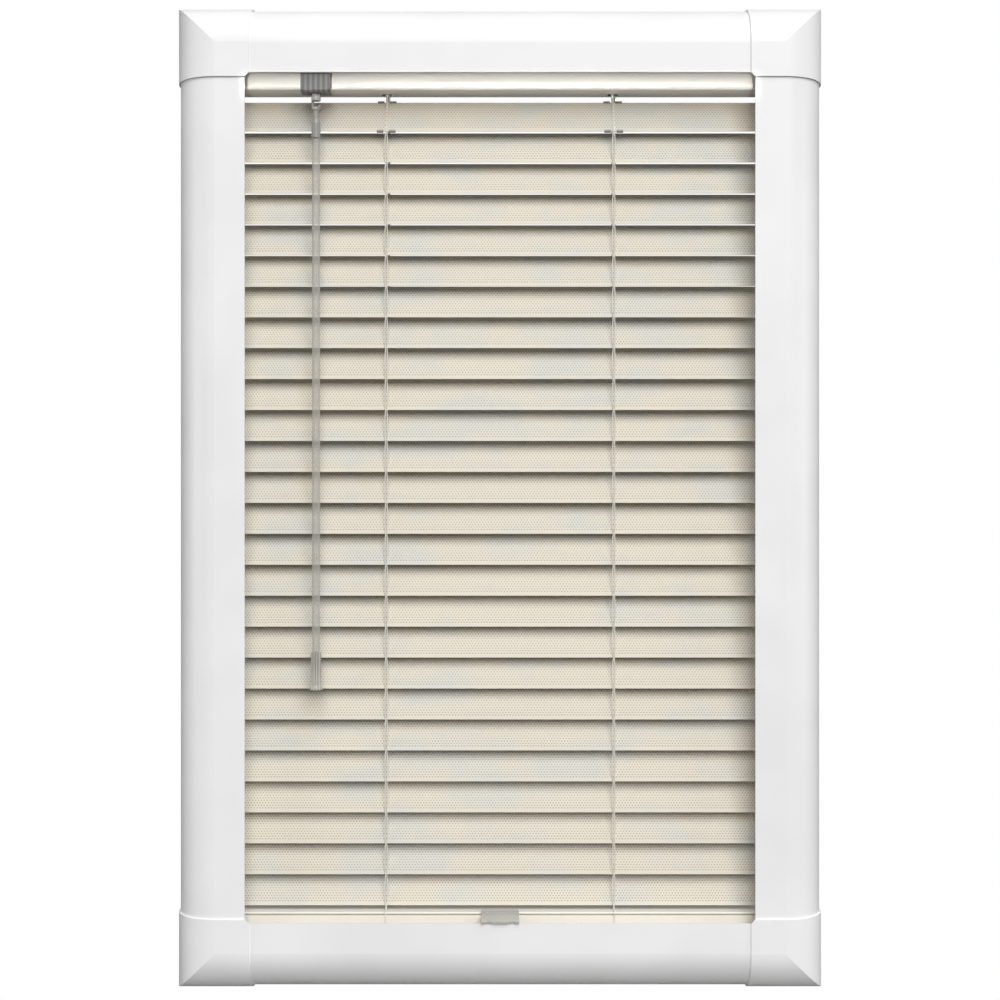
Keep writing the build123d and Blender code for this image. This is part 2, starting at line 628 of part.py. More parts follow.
def crown_strip(width, lift, skin):
    """Section of a crowned strip, its middle plane raised from the slat's by lift."""
    half = width / 2
    low = lift - skin / 2
    high = lift + skin / 2
    with BuildSketch() as strip:
        with BuildLine():
            ThreePointArc((-half, low), (0, low + SLAT_CROWN), (half, low))
            Line((half, low), (half, high))
            ThreePointArc((half, high), (0, high + SLAT_CROWN), (-half, high))
            Line((-half, high), (-half, low))
        make_face()
    return strip.sketch


def slat_plan(number):
    """Plane in a slat's chord: x along the slat, z towards its crown."""
    tilt = math.radians(SLAT_TILT)
    return Plane(
        (0, BLIND_Y, slat_z(number)), x_dir=(1, 0, 0), z_dir=(0, -math.sin(tilt), math.cos(tilt))
    )


SLAT_TRIM = 0.5
slat_section = crown_strip(SLAT_WIDTH + SLAT_TRIM, 0, SLAT_SKIN)
for number in range(1, SLAT_COUNT + 1):
    with BuildPart() as slat:
        with BuildSketch(slat_plane(number, -SLAT_HALF - SLAT_TRIM)):
            add(slat_section)
        extrude(amount=2 * (SLAT_HALF + SLAT_TRIM))
        with BuildSketch(slat_plan(number)) as plan:
            Rectangle(2 * SLAT_HALF, SLAT_WIDTH)
            chamfer(plan.vertices(), SLAT_CORNER)
        extrude(amount=2 * SLAT_CROWN, both=True, mode=Mode.INTERSECT)
    keep(f"slat_{number:02d}", slat.part)

# Clips on the top slat that hold it in the ladders: a strip below with four fingers over the edges
TOP_CLIP_W = 13.0
TOP_CLIP_SKIN = 0.5
TOP_CLIP_GAP = 4.0
TOP_CLIP_PLAY = 0.1
FINGER_OUT = 0.2
FINGER_IN = 0.8
FINGER_LOW = -0.5
FINGER_TOP = 0.9
EDGE_HALF = SLAT_WIDTH / 2
NOTCH_D = 3.0
NOTCH_H = 4.0
with BuildPart() as top_slat_clip:
    with BuildSketch(slat_plane(1, LADDER_X - TOP_CLIP_W / 2)):
        add(crown_strip(
            SLAT_WIDTH + 2 * (FINGER_OUT + TOP_CLIP_SKIN),
            -(SLAT_SKIN + TOP_CLIP_SKIN) / 2 - TOP_CLIP_PLAY,
            TOP_CLIP_SKIN,
        ))
        for side in (-1, 1):
            with BuildLine():
                Polyline(
                    (side * (EDGE_HALF + FINGER_OUT), FINGER_LOW),
                    (side * (EDGE_HALF + FINGER_OUT + TOP_CLIP_SKIN), FINGER_LOW),
                    (side * (EDGE_HALF + FINGER_OUT + TOP_CLIP_SKIN), FINGER_TOP),
                    (side * (EDGE_HALF - FINGER_IN), FINGER_TOP),
                    (side * (EDGE_HALF - FINGER_IN), FINGER_TOP - TOP_CLIP_SKIN),
                    (side * (EDGE_HALF + FINGER_OUT), FINGER_TOP - TOP_CLIP_SKIN),
                    close=True,
                )
            make_face()
    extrude(amount=TOP_CLIP_W)
    with BuildSketch(slat_plane(1, LADDER_X - TOP_CLIP_GAP / 2)):
        with Locations((-EDGE_HALF - TOP_CLIP_SKIN, 0), (EDGE_HALF + TOP_CLIP_SKIN, 0)):
            Rectangle(NOTCH_D, NOTCH_H)
    extrude(amount=TOP_CLIP_GAP, mode=Mode.SUBTRACT)
with BuildPart() as top_slat_clips:
    add(top_slat_clip.part)
    mirror(about=Plane.YZ)
keep("top_slat_clips", top_slat_clips.part)


# Ladders: strings along the slats' edges, and rung threads under the slats that rise
def cord_set(name, ends, radius):
    """A group of straight cords, each from one end to the other."""
    with BuildPart() as cords:
        for start, end in ends:
            with BuildLine() as line:
                Line(start, end)
            with BuildSketch(Plane(start, z_dir=line.line % 0)):
                RegularPolygon(radius, CORD_SIDES)
            sweep(path=line.line)
    keep(name, cords.part)


STRING_ABOVE = 4.0
STRING_BELOW = 0.8
FRONT_TOP_Z = FIRST_SLAT_Z - EDGE_Z + STRING_ABOVE
FRONT_END_Z = LAST_SLAT_Z - EDGE_Z - STRING_BELOW
BACK_TOP_Z = FIRST_SLAT_Z + EDGE_Z + STRING_ABOVE
BACK_END_Z = LAST_SLAT_Z + EDGE_Z - STRING_BELOW
LEAD_UP = DRUM_R + STRING_R + STRING_GAP
LADDER_SIDES = (-LADDER_X, LADDER_X)
cord_set(
    "ladder_front_strings",
    [((x, FRONT_STRING_Y, FRONT_TOP_Z), (x, FRONT_STRING_Y, FRONT_END_Z)) for x in LADDER_SIDES],
    STRING_R,
)
cord_set(
    "ladder_back_strings",
    [((x, BACK_STRING_Y, BACK_TOP_Z), (x, BACK_STRING_Y, BACK_END_Z)) for x in LADDER_SIDES],
    STRING_R,
)
cord_set(
    "lift_cords",
    [
        ((x + LIFT_CORD_X, BACK_STRING_Y, BACK_TOP_Z), (x + LIFT_CORD_X, BACK_STRING_Y, BACK_END_Z))
        for x in LADDER_SIDES
    ],
    STRING_R,
)

for number in range(FIRST_RISING_SLAT, SLAT_COUNT):
    tilt = math.radians(SLAT_TILT)
    drop = SLAT_SKIN / 2 + RUNG_R + STRING_GAP
    reach = SLAT_WIDTH / 2 - RUNG_SHORT
    middle_y = BLIND_Y + drop * math.sin(tilt)
    middle_z = slat_z(number) - drop * math.cos(tilt)
    cord_set(
        f"ladder_rungs_{number:02d}",
        [
            (
                (x, middle_y - reach * math.cos(tilt), middle_z - reach * math.sin(tilt)),
                (x, middle_y + reach * math.cos(tilt), middle_z + reach * math.sin(tilt)),
            )
            for x in LADDER_SIDES
        ],
        RUNG_R,
    )


def bent_cord(points):
    """A taut cord along straight runs, turned sharply where it is held."""
    with BuildPart() as cord:
        with BuildLine() as line:
            Polyline(*points)
        with BuildSketch(Plane(points[0], z_dir=line.line % 0)):
            RegularPolygon(STRING_R, CORD_SIDES)
        sweep(path=line.line, transition=Transition.RIGHT)
    return cord.part


# Cord leads inside the headrail: from the drums to the strings, and from the lift unit to the lift cords
LEAD_GAP = 0.2
LEAD_Z = CRADLE_FLOOR_Z + UNIT_H / 2
LEAD_HOLE_Y = -12.2
crown_lift = SLAT_CROWN + SLAT_SKIN / 2 + STRING_R + STRING_GAP
crown_y = BLIND_Y - crown_lift * math.sin(math.radians(SLAT_TILT))
crown_z = FIRST_SLAT_Z + crown_lift * math.cos(math.radians(SLAT_TILT))
with BuildPart() as headrail_cord_leads:
    for x in LADDER_SIDES:
        lead_x = x + LIFT_CORD_X
        add(bent_cord([
            (x, SHAFT_Y, SHAFT_Z - LEAD_UP),
            (x, LEAD_HOLE_Y, HEADRAIL_Z + HEADRAIL_SKIN / 2),
            (x, crown_y, crown_z),
            (x, FRONT_STRING_Y, FRONT_TOP_Z + LEAD_GAP),
        ]))
        add(bent_cord([
            (x, SHAFT_Y + LEAD_UP, SHAFT_Z),
            (x, BACK_STRING_Y, BACK_TOP_Z + LEAD_GAP),
        ]))
        add(bent_cord([
            (math.copysign(UNIT_HALF, x), BACK_STRING_Y, LEAD_Z),
            (lead_x, BACK_STRING_Y, LEAD_Z),
            (lead_x, BACK_STRING_Y, BACK_TOP_Z + LEAD_GAP),
        ]))
keep("headrail_cord_leads", headrail_cord_leads.part)

# Bottom rail: a hollow extruded strip with a shadow groove along its front edge
GROOVE_H = 1.2
GROOVE_IN = 2.4
GROOVE_DROP = 0.8
RAIL_EDGE = 0.6
RAIL_FRONT_SKIN = 3.2
RAIL_HOLLOW_D = RAIL_D - RAIL_SKIN - RAIL_FRONT_SKIN
RAIL_HOLLOW_Y = BLIND_Y + (RAIL_FRONT_SKIN - RAIL_SKIN) / 2
RAIL_MID_Z = RAIL_TOP_Z - RAIL_H / 2
RAIL_FRONT = BLIND_Y - RAIL_D / 2
with BuildPart() as bottom_rail:
    with BuildSketch(Plane.YZ.offset(-RAIL_HALF)) as rail_section:
        with Locations((BLIND_Y, RAIL_MID_Z)):
            Rectangle(RAIL_D, RAIL_H)
        chamfer(rail_section.vertices(), RAIL_EDGE)
        with Locations((RAIL_HOLLOW_Y, RAIL_MID_Z)):
            Rectangle(RAIL_HOLLOW_D, RAIL_H - 2 * RAIL_SKIN, mode=Mode.SUBTRACT)
        with Locations((RAIL_FRONT, RAIL_TOP_Z - GROOVE_DROP - GROOVE_H / 2)):
            Rectangle(2 * GROOVE_IN, GROOVE_H, mode=Mode.SUBTRACT)
    extrude(amount=2 * RAIL_HALF)
keep("bottom_rail", bottom_rail.part)

RAIL_CAP = 2.0
RAIL_PLUG = 8.0
RAIL_PLUG_D = 17.0
RAIL_PLUG_H = 6.0
with BuildPart() as bottom_rail_end_caps:
    with BuildSketch(Plane.YZ.offset(RAIL_HALF)) as cap_section:
        with Locations((BLIND_Y, RAIL_MID_Z)):
            Rectangle(RAIL_D, RAIL_H)
        chamfer(cap_section.vertices(), RAIL_EDGE)
    extrude(amount=RAIL_CAP)
    with BuildSketch(Plane.YZ.offset(RAIL_HALF)):
        with Locations((RAIL_HOLLOW_Y, RAIL_MID_Z)):
            Rectangle(RAIL_PLUG_D, RAIL_PLUG_H)
    extrude(amount=-RAIL_PLUG)
    mirror(about=Plane.YZ)
keep("bottom_rail_end_caps", bottom_rail_end_caps.part)

# Pull tab: a clear clip over the rail's front edge with a finger lip and two notches
TAB_SKIN = 1.3
TAB_TOP_REACH = 6.0
TAB_LIP_OUT = 15.5
TAB_LIP_Z = RAIL_TOP_Z - 3.1
TAB_FRONT_DROP = 0.6
TAB_NOTCH_X = 8.2
TAB_NOTCH_W = 5.0
TAB_NOTCH_D = 2.4
TAB_CORNER = 2.5
with BuildPart() as pull_tab:
    with BuildSketch(Plane.YZ.offset(-TAB_W / 2)):
        with BuildLine():
            Polyline(
                (RAIL_FRONT + TAB_TOP_REACH, RAIL_TOP_Z),
                (RAIL_FRONT + TAB_TOP_REACH, RAIL_TOP_Z + TAB_SKIN),
                (RAIL_FRONT - TAB_SKIN, RAIL_TOP_Z + TAB_SKIN),
                (RAIL_FRONT - TAB_SKIN, TAB_LIP_Z + TAB_SKIN),
                (RAIL_FRONT - TAB_LIP_OUT, TAB_LIP_Z + TAB_SKIN / 2),
                (RAIL_FRONT - TAB_LIP_OUT, TAB_LIP_Z - TAB_SKIN / 2),
                (RAIL_FRONT - TAB_SKIN, TAB_LIP_Z - TAB_SKIN / 2),
                (RAIL_FRONT - TAB_SKIN, TAB_LIP_Z - TAB_FRONT_DROP),
                (RAIL_FRONT, TAB_LIP_Z - TAB_FRONT_DROP),
                (RAIL_FRONT, RAIL_TOP_Z),
                close=True,
            )
        make_face()
    extrude(amount=TAB_W)
    for side in (-1, 1):
        with BuildSketch(Plane.XY.offset(TAB_LIP_Z)):
            with Locations((side * TAB_NOTCH_X, RAIL_FRONT - TAB_LIP_OUT)):
                SlotOverall(TAB_NOTCH_W, TAB_NOTCH_D)
        extrude(amount=2 * TAB_SKIN, both=True, mode=Mode.SUBTRACT)
    top_corners = pull_tab.edges().filter_by(Axis.Z).group_by(Axis.Y)[-1]
    chamfer(top_corners, TAB_CORNER)
keep("pull_tab", pull_tab.part)

# Ladder tails on the rail: from the last slat down to the rail and round it to the plugs below
PLUG_R = 4.0
PLUG_SKIN = 1.4
PLUG_GAP = 0.2
TAIL_OFF = STRING_R + RUNNING_GAP
TAIL_TOP_Z = RAIL_TOP_Z + TAIL_OFF
TAIL_END_Z = RAIL_TOP_Z - RAIL_H - TAIL_OFF
with BuildPart() as rail_cord_tails:
    for x in LADDER_SIDES:
        for side, string_y, start_z in ((-1, FRONT_STRING_Y, FRONT_END_Z), (1, BACK_STRING_Y, BACK_END_Z)):
            face_y = BLIND_Y + side * (RAIL_D / 2 + TAIL_OFF)
            add(bent_cord([
                (x, string_y, start_z - LEAD_GAP),
                (x, string_y, TAIL_TOP_Z),
                (x, face_y, TAIL_TOP_Z),
                (x, face_y, TAIL_END_Z),
                (x, BLIND_Y + side * (PLUG_R + PLUG_GAP), TAIL_END_Z),
            ]))
        add(bent_cord([
            (x + LIFT_CORD_X, BACK_STRING_Y, BACK_END_Z - LEAD_GAP),
            (x + LIFT_CORD_X, BACK_STRING_Y, TAIL_TOP_Z),
        ]))
keep("rail_cord_tails", rail_cord_tails.part)

with BuildPart() as ladder_plugs:
    for x in LADDER_SIDES:
        with BuildSketch(Plane.XY.offset(RAIL_TOP_Z - RAIL_H)):
            with Locations((x, BLIND_Y)):
                Circle(PLUG_R)
        extrude(amount=-PLUG_SKIN)
keep("ladder_plugs", ladder_plugs.part)
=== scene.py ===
"""Looks of the framed venetian blind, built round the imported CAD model. Metres, in the CAD's own frame."""

import json
import math

import bpy
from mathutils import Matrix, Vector


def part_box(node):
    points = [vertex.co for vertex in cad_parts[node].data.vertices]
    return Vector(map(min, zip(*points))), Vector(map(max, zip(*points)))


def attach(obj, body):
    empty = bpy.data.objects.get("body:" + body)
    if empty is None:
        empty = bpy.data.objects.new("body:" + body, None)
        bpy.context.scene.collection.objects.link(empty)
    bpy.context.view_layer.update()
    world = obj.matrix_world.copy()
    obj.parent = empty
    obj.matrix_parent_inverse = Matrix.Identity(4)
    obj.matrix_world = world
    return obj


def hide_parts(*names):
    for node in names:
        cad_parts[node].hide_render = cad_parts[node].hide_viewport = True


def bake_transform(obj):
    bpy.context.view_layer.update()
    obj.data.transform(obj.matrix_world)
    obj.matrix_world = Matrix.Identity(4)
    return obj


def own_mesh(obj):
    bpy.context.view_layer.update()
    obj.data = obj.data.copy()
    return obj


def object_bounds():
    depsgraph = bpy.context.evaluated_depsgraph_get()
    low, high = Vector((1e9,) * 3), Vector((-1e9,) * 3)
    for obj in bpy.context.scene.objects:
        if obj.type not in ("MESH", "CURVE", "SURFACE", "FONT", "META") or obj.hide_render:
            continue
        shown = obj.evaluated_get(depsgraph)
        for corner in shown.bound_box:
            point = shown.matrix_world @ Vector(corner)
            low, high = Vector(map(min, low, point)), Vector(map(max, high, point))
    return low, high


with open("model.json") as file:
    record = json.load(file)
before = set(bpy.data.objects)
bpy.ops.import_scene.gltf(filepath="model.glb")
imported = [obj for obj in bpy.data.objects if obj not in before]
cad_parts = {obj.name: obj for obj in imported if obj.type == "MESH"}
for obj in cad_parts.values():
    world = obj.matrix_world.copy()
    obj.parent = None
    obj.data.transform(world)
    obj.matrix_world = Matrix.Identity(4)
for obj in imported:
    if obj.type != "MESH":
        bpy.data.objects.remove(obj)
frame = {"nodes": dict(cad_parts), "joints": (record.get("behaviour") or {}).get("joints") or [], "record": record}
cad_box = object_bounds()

MM = 0.001

# Slats: crowned strips, perforated in a staggered pattern
SLAT_COUNT = 26
SLAT_WIDTH = 25.0 * MM
SLAT_CROWN = 1.5 * MM
SLAT_SKIN = 0.25 * MM
SLAT_CORNER = 3.0 * MM
SLAT_TILT = math.radians(450.0 / 7.0)
SLAT_ROWS = 10
CORNER_STEPS = 5
SLAT_EDGE_ANGLE = math.radians(40)
HOLE_PITCH = 2.0 * MM
HOLE_ROW = HOLE_PITCH * math.sin(math.radians(60))
HOLE_R = 0.42 * MM
HOLE_SOFT = 0.10 * MM
HOLE_MARGIN = 2.2 * MM
HOLE_END_MARGIN = 5.0 * MM

# Ladders: two strands that part between the slats and meet at each slat's edge
STRAND_R = 0.36 * MM
STRAND_PART = 1.0 * MM
STRAND_MEET = 0.32 * MM
PART_FROM = 0.3
PART_TO = 0.7
RUNG_R = 0.25 * MM
RUNG_CLEAR = 1.6 * RUNG_R
RUNG_OFF = 2 * STRAND_MEET
RUNG_POINTS = 7
CORD_R = 0.5 * MM
CORD_BEVEL = 2
FIRST_RISING_SLAT = 19
STRING_TOP_IN_RAIL = 21.5 * MM

# Leads from the headrail's drums and lift unit, and tails round the bottom rail
DRUM_R = 4.8 * MM
LEAD_HOLE_Y = -12.2 * MM
LEAD_CLEAR = 0.3 * MM
LEAD_BEND = 3.0 * MM
LEAD_GAP = 3 * CORD_R
TAIL_BEND = 2.0 * MM

# Pitch of the ribs moulded on the tilter's hood and on the wand's grip, which are painted as light and dark bands:
# a painted highlight and shade
RIB_PITCH = 3.52 * MM
GRIP_RIB_PITCH = 1.75 * MM

# Textures: noise scales per metre, bands of noise that turn into tone and gloss, and the gloss's swing
TONE_BAND = (0.35, 0.65)
GLOSS_BAND = (0.3, 0.7)
MOULDED_DRIFT = 14.0
MOULDED_GLOSS = 0.05
MOULDED_BUMP = 0.25
CLEAR_DRIFT = 40.0
CLEAR_GLOSS_DOWN = 0.04
CLEAR_GLOSS_UP = 0.06
# Strength of the painted highlight and shade across the ribs
PAINTED_RIB_SHADING = 0.45
CLEAR_RIM_AT = 0.8
BRUSH_LINES = 900.0
BRUSH_BAND = (0.2, 0.8)
BRUSH_GLOSS = 0.08
YARN_SCALE = 450.0
SLAT_DRIFT = 9.0
SLAT_GLOSS = 0.04
CLOUD_SCALE = 26.0
CLOUD_STRETCH = (0.8, 1, 1.6)
CLOUD_BAND = (0.48, 0.64)
CLOUD_SHARE = 0.9

# Sockets of a Mix node in its colour mode
MIX_SHARE, MIX_FIRST, MIX_SECOND, MIX_RESULT = 0, 6, 7, 2

# Stage: a pale floor well below the blind, and a dome that is brighter above than below
FLOOR_DROP = 1.3
FLOOR_HALF = 0.8
DOME_HEIGHTS = (-0.4, 0.6)
DOME_STRENGTHS = (0.03, 0.38)

# Camera: level, in front of the middle of the blind
CAMERA_Y = -1.129
CAMERA_Z = 0.3209
LENS_MM = 57.4
SENSOR_MM = 36.0

joint_place = {j["name"]: Vector(j.get("pos_m") or (0, 0, 0)) for j in frame["joints"]}


# Shader helpers
class Surface:
    """A material built from nodes round one Principled shader."""

    def __init__(self, name, roughness, **shader_values):
        self.material = bpy.data.materials.new(name)
        self.material.use_nodes = True
        self.tree = self.material.node_tree
        self.shader = self.tree.nodes["Principled BSDF"]
        self.shader.inputs["Roughness"].default_value = roughness
        for socket, value in shader_values.items():
            self.shader.inputs[socket.replace("_", " ")].default_value = value

    def node(self, kind, settings=None, **inputs):
        """Add a node; an input is a value or another node's output."""
        made = self.tree.nodes.new(kind)
        for key, value in (settings or {}).items():
            setattr(made, key, value)
        for key, value in inputs.items():
            self.feed(value, made.inputs[key])
        return made

    def feed(self, value, socket):
        if isinstance(value, bpy.types.NodeSocket):
            self.tree.links.new(value, socket)
        else:
            socket.default_value = value

    def math(self, operation, first, second=0.0):
        made = self.node("ShaderNodeMath", {"operation": operation})
        self.feed(first, made.inputs[0])
        self.feed(second, made.inputs[1])
        return made.outputs[0]

    def place(self, stretch=(1, 1, 1)):
        """Coordinates of the piece at rest, in metres, stretched along its axes."""
        where = self.node("ShaderNodeTexCoord").outputs["Object"]
        return self.node("ShaderNodeMapping", Vector=where, Scale=stretch).outputs[0]

    def noise(self, scale, detail=3.0, stretch=(1, 1, 1)):
        made = self.node("ShaderNodeTexNoise", Vector=self.place(stretch), Scale=scale, Detail=detail)
        return made.outputs["Fac"]

    def span(self, value, low, high, to_low, to_high):
        """Stretch a value from one range to another, held at both ends."""
        made = self.node("ShaderNodeMapRange", Value=value)
        for index, number in enumerate((low, high, to_low, to_high), start=1):
            self.feed(number, made.inputs[index])
        return made.outputs[0]

    def mix(self, share, first, second):
        made = self.node("ShaderNodeMix", {"data_type": "RGBA"})
        self.feed(share, made.inputs[MIX_SHARE])
        self.feed(first, made.inputs[MIX_FIRST])
        self.feed(second, made.inputs[MIX_SECOND])
        return made.outputs[MIX_RESULT]

    def colour(self, value):
        self.feed(value, self.shader.inputs["Base Color"])

    def roughness(self, value):
        self.feed(value, self.shader.inputs["Roughness"])

    def bump(self, height, strength, distance):
        made = self.node("ShaderNodeBump", Height=height, Strength=strength, Distance=distance)
        self.tree.links.new(made.outputs[0], self.shader.inputs["Normal"])


def rgb(red, green, blue):
    return (red, green, blue, 1.0)


def moulded(name, light, dark, roughness, grain, grain_depth, **shader_values):
    """Moulded or coated surface: a fine grain, and a slow drift of tone and gloss."""
    surface = Surface(name, roughness, **shader_values)
    drift = surface.noise(MOULDED_DRIFT, detail=2.0)
    surface.colour(surface.mix(surface.span(drift, *TONE_BAND, 0.0, 1.0), dark, light))
    surface.roughness(surface.span(drift, *GLOSS_BAND, roughness - MOULDED_GLOSS, roughness + MOULDED_GLOSS))
    surface.bump(surface.noise(grain), MOULDED_BUMP, grain_depth)
    return surface.material


def clear(name, light, dark, roughness, see_through, rim, rib_pitch=0.0):
    """Clear moulded plastic: see-through where it is faced and denser at its rim; its ribs are light and dark
    bands in the colour, a painted highlight and shade.
    """
    surface = Surface(name, roughness, IOR=1.49, Coat_Weight=0.3, Coat_Roughness=0.15)
    tone = surface.span(surface.noise(CLEAR_DRIFT, detail=2.0), *GLOSS_BAND, *GLOSS_BAND)
    if rib_pitch:
        along = surface.node("ShaderNodeSeparateXYZ", Vector=surface.place()).outputs[0]
        # Painted highlight and shade: light and dark bands across the ribs, put in the colour.
        painted_rib_shading = surface.math("SINE", surface.math("MULTIPLY", along, 2 * math.pi / rib_pitch))
        tone = surface.math("ADD", surface.math("MULTIPLY", painted_rib_shading, PAINTED_RIB_SHADING), tone)
    surface.colour(surface.mix(tone, dark, light))
    surface.roughness(surface.span(tone, 0.0, 1.0, roughness - CLEAR_GLOSS_DOWN, roughness + CLEAR_GLOSS_UP))
    facing = surface.node("ShaderNodeLayerWeight", Blend=0.35).outputs["Facing"]
    density = surface.span(facing, 0.0, CLEAR_RIM_AT, 1.0 - see_through, rim)
    surface.feed(density, surface.shader.inputs["Alpha"])
    return surface.material


def brushed(name, light, dark, roughness, stretch):
    """Brushed metal, its lines along the long axis."""
    surface = Surface(name, roughness, Metallic=1.0)
    lines = surface.noise(BRUSH_LINES, detail=2.0, stretch=stretch)
    surface.colour(surface.mix(lines, dark, light))
    surface.roughness(surface.span(lines, *BRUSH_BAND, roughness - BRUSH_GLOSS, roughness + BRUSH_GLOSS))
    surface.bump(lines, strength=0.2, distance=0.00005)
    return surface.material


def braided(name, light, dark):
    """Braided cord: short slanting yarns."""
    surface = Surface(name, roughness=0.85, Sheen_Weight=0.2)
    waves = surface.node(
        "ShaderNodeTexWave", {"bands_direction": "DIAGONAL"},
        Vector=surface.place(), Scale=YARN_SCALE, Distortion=1.5,
    )
    yarn = waves.outputs["Fac"]
    surface.colour(surface.mix(yarn, dark, light))
    surface.bump(yarn, strength=0.5, distance=0.0002)
    return surface.material


def perforated(name, light, dark, cloudy, hole, roughness, half_length):
    """Coated slat with staggered punched holes, placed by the slat's own UV in metres; the holes are dark dots of
    colour, a painted shade of the gap seen through them.
    """
    surface = Surface(name, roughness, Specular_IOR_Level=0.3)
    spot = surface.node("ShaderNodeSeparateXYZ", Vector=surface.node("ShaderNodeUVMap").outputs[0])
    along, across = spot.outputs[0], spot.outputs[1]
    row = surface.math("DIVIDE", across, HOLE_ROW)
    odd_row = surface.math("FLOORED_MODULO", surface.math("FLOOR", row), 2.0)
    shift = surface.math("MULTIPLY", odd_row, 0.5)
    step = surface.math("ADD", surface.math("DIVIDE", along, HOLE_PITCH), shift)
    step_off = surface.math("SUBTRACT", surface.math("FRACT", step), 0.5)
    row_off = surface.math("SUBTRACT", surface.math("FRACT", row), 0.5)
    off_along = surface.math("MULTIPLY", step_off, HOLE_PITCH)
    off_across = surface.math("MULTIPLY", row_off, HOLE_ROW)
    along_square = surface.math("MULTIPLY", off_along, off_along)
    across_square = surface.math("MULTIPLY", off_across, off_across)
    radius = surface.math("SQRT", surface.math("ADD", along_square, across_square))
    punched = surface.span(radius, HOLE_R + HOLE_SOFT, HOLE_R - HOLE_SOFT, 0.0, 1.0)
    in_width = surface.math("LESS_THAN", surface.math("ABSOLUTE", across), SLAT_WIDTH / 2 - HOLE_MARGIN)
    in_length = surface.math("LESS_THAN", surface.math("ABSOLUTE", along), half_length - HOLE_END_MARGIN)
    punched = surface.math("MULTIPLY", punched, surface.math("MULTIPLY", in_width, in_length))
    drift = surface.noise(SLAT_DRIFT, detail=2.0)
    paint = surface.mix(surface.span(drift, *TONE_BAND, 0.0, 1.0), dark, light)
    haze = surface.noise(CLOUD_SCALE, detail=4.0, stretch=CLOUD_STRETCH)
    paint = surface.mix(surface.span(haze, *CLOUD_BAND, 0.0, CLOUD_SHARE), paint, cloudy)
    # The holes take the hole colour: a painted shade of the dark gap seen through them.
    surface.colour(surface.mix(punched, paint, hole))
    surface.roughness(surface.span(drift, *GLOSS_BAND, roughness - SLAT_GLOSS, roughness + SLAT_GLOSS))
    surface.bump(surface.math("SUBTRACT", 1.0, punched), strength=0.6, distance=0.0003)
    return surface.material


# Mesh helpers
def mesh_piece(name, points, faces, finish, smooth=True):
    """A mesh object with one finish."""
    mesh = bpy.data.meshes.new(name)
    mesh.from_pydata([tuple(p) for p in points], [], faces)
    mesh.update()
    mesh.polygons.foreach_set("use_smooth", [smooth] * len(mesh.polygons))
    made = bpy.data.objects.new(name, mesh)
    bpy.context.scene.collection.objects.link(made)
    made.data.materials.append(finish)
    return made


def cord_piece(name, routes, radius, per_span=4):
    """Round cords along NURBS routes, joined in one mesh."""
    curve = bpy.data.curves.new(name, "CURVE")
    curve.dimensions = "3D"
    curve.bevel_depth = radius
    curve.bevel_resolution = CORD_BEVEL
    curve.use_fill_caps = True
    for route in routes:
        spline = curve.splines.new("NURBS")
        spline.points.add(len(route) - 1)
        for point, place in zip(spline.points, route):
            point.co = (*place, 1.0)
        spline.order_u = 3
        spline.use_endpoint_u = True
        spline.resolution_u = per_span
    holder = bpy.data.objects.new(name + "_route", curve)
    bpy.context.scene.collection.objects.link(holder)
    bpy.context.view_layer.update()
    mesh = bpy.data.meshes.new_from_object(holder.evaluated_get(bpy.context.evaluated_depsgraph_get()))
    bpy.data.objects.remove(holder)
    mesh.name = name
    mesh.polygons.foreach_set("use_smooth", [True] * len(mesh.polygons))
    made = bpy.data.objects.new(name, mesh)
    bpy.context.scene.collection.objects.link(made)
    made.data.materials.clear()
    made.data.materials.append(cord_finish)
    return made


# Finishes
frame_finish = moulded(
    "frame_white", light=rgb(0.84, 0.84, 0.84), dark=rgb(0.80, 0.80, 0.80),
    roughness=0.42, grain=2500.0, grain_depth=0.00004,
)
rail_finish = moulded(
    "rail_cream", light=rgb(0.84, 0.805, 0.725), dark=rgb(0.81, 0.775, 0.695),
    roughness=0.40, grain=1800.0, grain_depth=0.00004,
)
headrail_finish = moulded(
    "headrail_cream", light=rgb(0.93, 0.89, 0.81), dark=rgb(0.91, 0.87, 0.79),
    roughness=0.40, grain=1800.0, grain_depth=0.00004,
    Coat_Weight=1.0, Coat_Roughness=0.2, Coat_IOR=1.7,
)
inner_finish = moulded(
    "inner_plastic", light=rgb(0.72, 0.71, 0.66), dark=rgb(0.66, 0.65, 0.61),
    roughness=0.50, grain=1500.0, grain_depth=0.00006,
)
clip_finish = moulded(
    "clip_dark", light=rgb(0.30, 0.29, 0.26), dark=rgb(0.24, 0.23, 0.20),
    roughness=0.45, grain=1500.0, grain_depth=0.00005,
)
steel_finish = brushed(
    "clip_steel", light=rgb(0.62, 0.62, 0.60), dark=rgb(0.45, 0.45, 0.44),
    roughness=0.35, stretch=(1, 1, 0.02),
)
shaft_finish = brushed(
    "shaft_steel", light=rgb(0.62, 0.62, 0.62), dark=rgb(0.48, 0.48, 0.48),
    roughness=0.30, stretch=(0.02, 1, 1),
)
hood_finish = clear(
    "clear_hood", light=rgb(0.155, 0.152, 0.142), dark=rgb(0.05, 0.049, 0.046),
    roughness=0.35, see_through=0.15, rim=0.95, rib_pitch=RIB_PITCH,
)
grey_finish = clear(
    "clear_grey", light=rgb(0.40, 0.395, 0.365), dark=rgb(0.30, 0.295, 0.275),
    roughness=0.30, see_through=0.30, rim=0.95,
)
tab_finish = clear(
    "clear_tab", light=rgb(0.62, 0.61, 0.565), dark=rgb(0.52, 0.51, 0.475),
    roughness=0.30, see_through=0.45, rim=0.95,
)
wand_finish = clear(
    "clear_wand", light=rgb(0.58, 0.565, 0.51), dark=rgb(0.48, 0.47, 0.425),
    roughness=0.30, see_through=0.66, rim=0.92,
)
